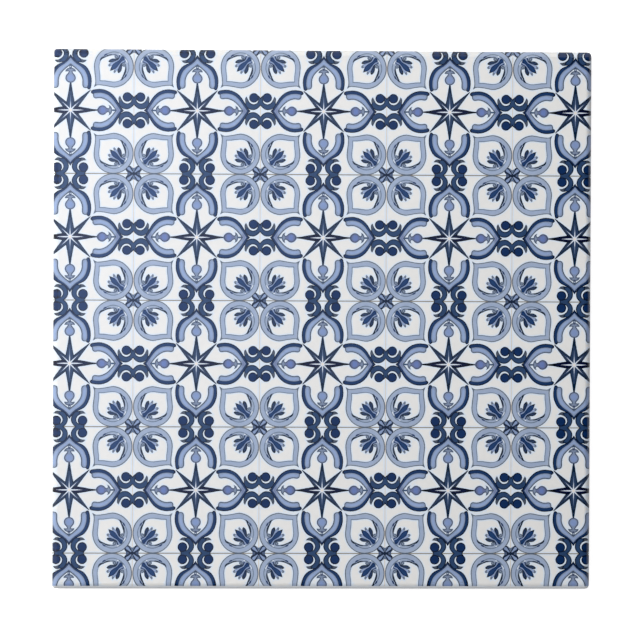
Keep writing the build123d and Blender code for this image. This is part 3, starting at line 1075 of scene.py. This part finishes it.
# The glaze: its ripple's height in millimetres, how rough it is on the face and on the sides, its colour
# where it is thin and at its lower end, and how much of the thin colour shows at the edge
GLAZE_RIPPLE = 0.012
GLAZE_ROUGHNESS = 0.09
SIDE_ROUGHNESS = 0.16
THIN_GLAZE = (186, 188, 189)
GLAZE_FOOT = (196, 190, 178)
THINNING = 0.1
# The line where the glaze ends on the sides: its height and how far it waves, in millimetres
GLAZE_END = 3.1
GLAZE_WAVE = 2.6
# The clay: its colours, with the dust and painted shade in the pockets and where the kiln rubbed it, how
# rough it is, how far apart its grains may lie, the share of those places without one, and the heights of
# grains and surface
CLAY = {"Body": linear((205, 194, 176)), "Bloom": linear((224, 217, 204)), "Grains": linear((120, 96, 74))}
POCKET_DUST_AND_SHADE = (178, 162, 138)
KILN_RUB = (184, 177, 166)
CLAY_ROUGHNESS = 0.85
GRAIN_GAP = 0.9
GRAINLESS = 0.82
GRAIN_RISE = 0.02
CLAY_RISE = 0.04


def ink_material(name, ink, skin):
    """One ink under the clear glaze."""
    edge, pooled, wash, _ = INKS[name]
    material, tree, shader = new_material(name + " under glaze")
    depth = node(tree, "ShaderNodeAttribute", attribute_name="ink depth").outputs["Fac"]
    colour = placed(tree, ink, {"Outline": linear(edge), "Pooled": linear(pooled), "Depth": depth,
                                "Wash": wash, "Thin Glaze": linear(THIN_GLAZE)})["Color"]
    surface = placed(tree, skin, {"Ripple": GLAZE_RIPPLE, "Gloss": GLAZE_ROUGHNESS})
    tree.links.new(colour, shader.inputs["Base Color"])
    tree.links.new(surface["Roughness"], shader.inputs["Roughness"])
    tree.links.new(surface["Normal"], shader.inputs["Normal"])
    return material


def side_material(clay, skin):
    """The sides: glaze that ran over the rolled edge ends in a wavy line on the bare clay."""
    material, tree, shader = new_material("glaze run over clay")
    z = parted(tree, object_place(tree))[2]
    swing = calc(tree, "SUBTRACT", noise(tree, 7.0, 3.0, (1, 1, 0)), 0.5)
    wave = calc(tree, "MULTIPLY", swing, GLAZE_WAVE * MM)
    above = calc(tree, "SUBTRACT", z, calc(tree, "ADD", wave, GLAZE_END * MM))
    glazed = ranged(tree, above, -0.06 * MM, 0.1 * MM)
    body = placed(tree, clay, {**CLAY, "Grain Share": 0.5})
    run = placed(tree, skin, {"Ripple": GLAZE_RIPPLE, "Gloss": SIDE_ROUGHNESS})
    pale = mixed(tree, ranged(tree, above, 0.0, 0.9 * MM), linear(GLAZE_FOOT), linear(THIN_GLAZE))
    tree.links.new(mixed(tree, glazed, body["Color"], pale), shader.inputs["Base Color"])
    dry = calc(tree, "SUBTRACT", 1.0, glazed)
    tree.links.new(calc(tree, "MULTIPLY_ADD", dry, 0.7, run["Roughness"]), shader.inputs["Roughness"])
    height = calc(tree, "MULTIPLY_ADD", glazed, 0.05 * MM, calc(tree, "MULTIPLY", body["Height"], dry))
    tree.links.new(bumped(tree, height), shader.inputs["Normal"])
    return material


def back_material(clay):
    """The back: bare pressed clay, a little greyer on the ribs and border that it stood on in the kiln,
    and darker down in its pockets, with dust and painted shade.
    """
    material, tree, shader = new_material("bare clay back")
    body = placed(tree, clay, {**CLAY, "Grain Share": 0.7})
    z = parted(tree, object_place(tree))[2]
    proud = ranged(tree, z, 0.0, 0.1 * MM, 1.0, 0.0)
    rubbed = calc(tree, "MULTIPLY", proud, ranged(tree, noise(tree, 9.0, 5.0), 0.4, 0.66, 0.05, 0.4))
    # Darker the deeper into a pocket: dust, and painted shade in the hollows
    dust_and_shade = ranged(tree, z, 0.15 * MM, 0.75 * MM, 0.0, 0.5)
    colour = mixed(tree, dust_and_shade, body["Color"], linear(POCKET_DUST_AND_SHADE))
    colour = mixed(tree, rubbed, colour, linear(KILN_RUB))
    tree.links.new(colour, shader.inputs["Base Color"])
    shader.inputs["Roughness"].default_value = CLAY_ROUGHNESS
    tree.links.new(bumped(tree, body["Height"]), shader.inputs["Normal"])
    return material


def make_tile():
    """The tile as one piece in the place of its solid."""
    mesh = tile_mesh()
    ink, skin, clay = fired_ink(), glaze_skin(), fired_clay()
    for name in INK_NAMES:
        mesh.materials.append(ink_material(name, ink, skin))
    mesh.materials.append(side_material(clay, skin))
    mesh.materials.append(back_material(clay))
    tile = bpy.data.objects.new("glazed_tile", mesh)
    bpy.context.scene.collection.objects.link(tile)
    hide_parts("tile")
    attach(tile, "root")


# The studio

# Places and lengths here are in metres, and the camera's turn in degrees
CAMERA_PLACE = (-0.02831, 0.00561, 0.7027)
CAMERA_TURN = (-0.508, -2.318, 0.244)
CAMERA_LENS = 194.63
FLOOR_HALF = 3.0
FLOOR_DROP = 0.02 * MM
# How far inside the back's edge the floor's opening ends, in millimetres
OPENING_GAP = 0.06
FLOOR_WHITE = (0.8, 0.8, 0.8, 1.0)
# The floor's own glow to the camera and in mirrors
FLOOR_GLOW = 0.78
MIRRORED_GLOW = 0.2
KEY_PLACE = (-0.304, 0.176, 0.34)
KEY_AIM = (0.3475, -0.205, 0)
KEY_WIDTH = 0.12
KEY_WATTS = 2.33
KEY_TINT = (1.0, 0.99, 0.97)
# The light all round: its level above, how it leans, and its level below
AROUND = 0.36
AROUND_LEAN = (-0.25, 0.18, 0)
BELOW = 0.85
# Each card's height, lower left corner and upper right corner
WINDOW_CARD = (0.78, (-0.30, -0.30), (0.34, 0.30))
DARK_CARD = (0.8, (-0.30, -2.4), (2.4, 0.30))
# The window's light on its card: its colour and strength, where it starts and is full, across and up, and
# the power that it grows by across
WINDOW_TINT = (0.56, 0.68, 1.0, 1.0)
WINDOW_GLOW = 2.5
WINDOW_ACROSS = (0.155, -0.065)
WINDOW_UP = (-0.20, 0.03)
WINDOW_GROWTH = 1.35


def make_camera():
    """A long lens almost straight above the tile, leaning a little from its left."""
    camera = bpy.data.objects.new("camera", bpy.data.cameras.new("camera"))
    camera.data.lens = CAMERA_LENS
    camera.location = CAMERA_PLACE
    camera.rotation_euler = [radians(a) for a in CAMERA_TURN]
    bpy.context.scene.collection.objects.link(camera)
    bpy.context.scene.camera = camera


def seen(tree, directly, mirrored):
    """One level for rays from the camera and one for those from a glossy surface or glass, 0 for the
    light on the object."""
    ray = node(tree, "ShaderNodeLightPath").outputs
    glossy = calc(tree, "MAXIMUM", ray["Is Glossy Ray"], ray["Is Transmission Ray"])
    in_mirrors = calc(tree, "MULTIPLY", glossy, mirrored)
    return calc(tree, "MULTIPLY_ADD", ray["Is Camera Ray"], directly, in_mirrors)


def shader_tree(name):
    """A new material's tree with only its output, and the material."""
    material = bpy.data.materials.new(name)
    material.use_nodes = True
    tree = material.node_tree
    tree.nodes.remove(tree.nodes["Principled BSDF"])
    return material, tree, tree.nodes["Material Output"].inputs["Surface"]


def make_floor():
    """A white floor that keeps the tile's shadow. It is clear from below, and open under the tile's back,
    so that the back can be seen and lit from there."""
    mesh = bpy.data.meshes.new("floor")
    corners = np.array([(-1, -1), (1, -1), (1, 1), (-1, 1)])
    opening = corners * (HALF - side_profile()[-1, 0] - OPENING_GAP) * MM
    plan = np.vstack([corners * FLOOR_HALF, opening])
    heights = np.full((8, 1), -FLOOR_DROP)
    strips = [(k, (k + 1) % 4, (k + 1) % 4 + 4, k + 4) for k in range(4)]
    mesh.from_pydata(np.hstack([plan, heights]).tolist(), [], strips)
    floor = bpy.data.objects.new("floor", mesh)
    bpy.context.scene.collection.objects.link(floor)
    material, tree, surface = shader_tree("white floor")
    matt = node(tree, "ShaderNodeBsdfDiffuse", {"Color": FLOOR_WHITE}).outputs[0]
    lit = node(tree, "ShaderNodeEmission", {"Strength": seen(tree, FLOOR_GLOW, MIRRORED_GLOW)}).outputs[0]
    top = node(tree, "ShaderNodeAddShader", {0: matt, 1: lit}).outputs[0]
    clear = node(tree, "ShaderNodeBsdfTransparent").outputs[0]
    under = node(tree, "ShaderNodeNewGeometry").outputs["Backfacing"]
    tree.links.new(node(tree, "ShaderNodeMixShader", {0: under, 1: top, 2: clear}).outputs[0], surface)
    floor.data.materials.append(material)


def hung_card(name, height, low, high):
    """A level card above the camera, which only the light and the glaze see, and its tree and surface."""
    mesh = bpy.data.meshes.new(name)
    plan = [low, (low[0], high[1]), high, (high[0], low[1])]
    mesh.from_pydata([(x, y, height) for x, y in plan], [], [(0, 1, 2, 3)])
    card = bpy.data.objects.new(name, mesh)
    bpy.context.scene.collection.objects.link(card)
    card.visible_camera = False
    material, tree, surface = shader_tree(name)
    mesh.materials.append(material)
    return card, tree, surface


def evenly_ranged(tree, value, low, high):
    """A value's share of the way from low to high, kept between 0 and 1."""
    feeds = {"Value": value, "From Min": low, "From Max": high, "To Min": 0.0, "To Max": 1.0}
    return node(tree, "ShaderNodeMapRange", feeds, clamp=True).outputs[0]


def make_cards():
    """The cards that the glaze mirrors: a dark one with the bluish light of a window falling off across
    it from the upper left, and a wide black one past it at the right and below."""
    _, tree, surface = hung_card("window_light", *WINDOW_CARD)
    x, y, _ = parted(tree, object_place(tree))
    across = calc(tree, "POWER", evenly_ranged(tree, x, *WINDOW_ACROSS), WINDOW_GROWTH)
    up = evenly_ranged(tree, y, *WINDOW_UP)
    strength = calc(tree, "MULTIPLY", calc(tree, "MULTIPLY", across, up), WINDOW_GLOW)
    glow = node(tree, "ShaderNodeEmission", {"Color": WINDOW_TINT, "Strength": strength})
    tree.links.new(glow.outputs[0], surface)
    dark, tree, surface = hung_card("dark_card", *DARK_CARD)
    dark.visible_diffuse = False
    dark.visible_shadow = False
    tree.links.new(node(tree, "ShaderNodeEmission", {"Strength": 0.0}).outputs[0], surface)


def make_key():
    """The one lamp, up to the left and turned a little away, so that its light falls off across the tile."""
    lamp = bpy.data.lights.new("key", "AREA")
    lamp.shape = "DISK"
    lamp.size = KEY_WIDTH
    lamp.energy = KEY_WATTS
    lamp.color = KEY_TINT
    key = bpy.data.objects.new("key", lamp)
    key.location = KEY_PLACE
    key.visible_glossy = False
    key.rotation_euler = (Vector(KEY_PLACE) - Vector(KEY_AIM)).to_track_quat("Z", "Y").to_euler()
    bpy.context.scene.collection.objects.link(key)


def make_world():
    """White to look at, and a soft dim light all round on the object, stronger from the upper left by
    1 + way . lean."""
    world = bpy.data.worlds.new("studio")
    bpy.context.scene.world = world
    world.use_nodes = True
    tree = world.node_tree
    way = node(tree, "ShaderNodeTexCoord").outputs["Generated"]
    z = parted(tree, way)[2]
    leaning = node(tree, "ShaderNodeVectorMath", {0: way, 1: AROUND_LEAN}, operation="DOT_PRODUCT")
    lean = leaning.outputs["Value"]
    above = calc(tree, "MULTIPLY_ADD", lean, AROUND, AROUND)
    soft = ranged(tree, z, -0.05, 0.0, BELOW, above)
    direct = seen(tree, 1.0, 1.0)
    strength = calc(tree, "ADD", direct, calc(tree, "MULTIPLY", calc(tree, "SUBTRACT", 1.0, direct), soft))
    sky = tree.nodes["Background"]
    sky.inputs["Color"].default_value = (1.0, 1.0, 1.0, 1.0)
    tree.links.new(strength, sky.inputs["Strength"])


make_camera()
make_tile()
make_floor()
make_cards()
make_key()
make_world()
bpy.context.scene.view_settings.view_transform = "Standard"
